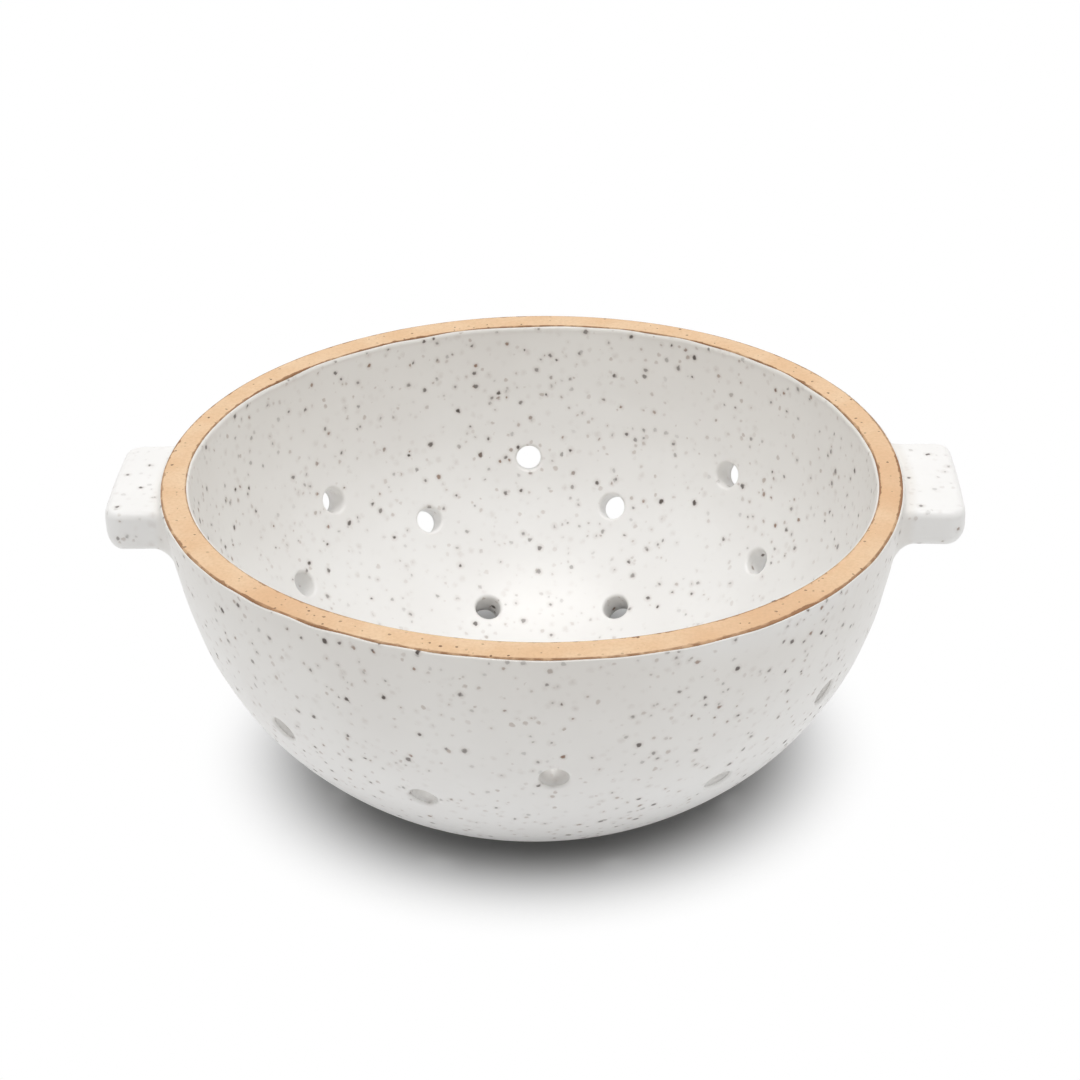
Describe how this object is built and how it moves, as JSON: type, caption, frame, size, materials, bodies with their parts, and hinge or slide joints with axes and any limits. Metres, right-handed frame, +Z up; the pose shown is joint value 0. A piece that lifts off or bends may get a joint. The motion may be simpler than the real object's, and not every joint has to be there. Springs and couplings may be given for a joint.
{
  "type": "berry colander bowl",
  "caption": "Round speckled stoneware berry bowl with pierced wall and floor for rinsing fruit, a bare clay lip and a slab lug handle on each side.",
  "frame": {"origin": "centre of the foot, on the table plane", "axes": "+X through the two lug handles, +Y across the bowl away from the viewer, +Z up along the bowl's axis"},
  "size_m": [0.189, 0.1656, 0.077],
  "materials": {
    "stoneware": "matte bare fired clay with fine iron specks",
    "glaze": "satin off-white glaze with brown iron speckle"
  },
  "bodies": {
    "root": {"stoneware_bowl": "stoneware", "left_handle": "stoneware", "right_handle": "stoneware", "inside_glaze": "glaze", "outside_glaze": "glaze"}
  },
  "joints": []
}
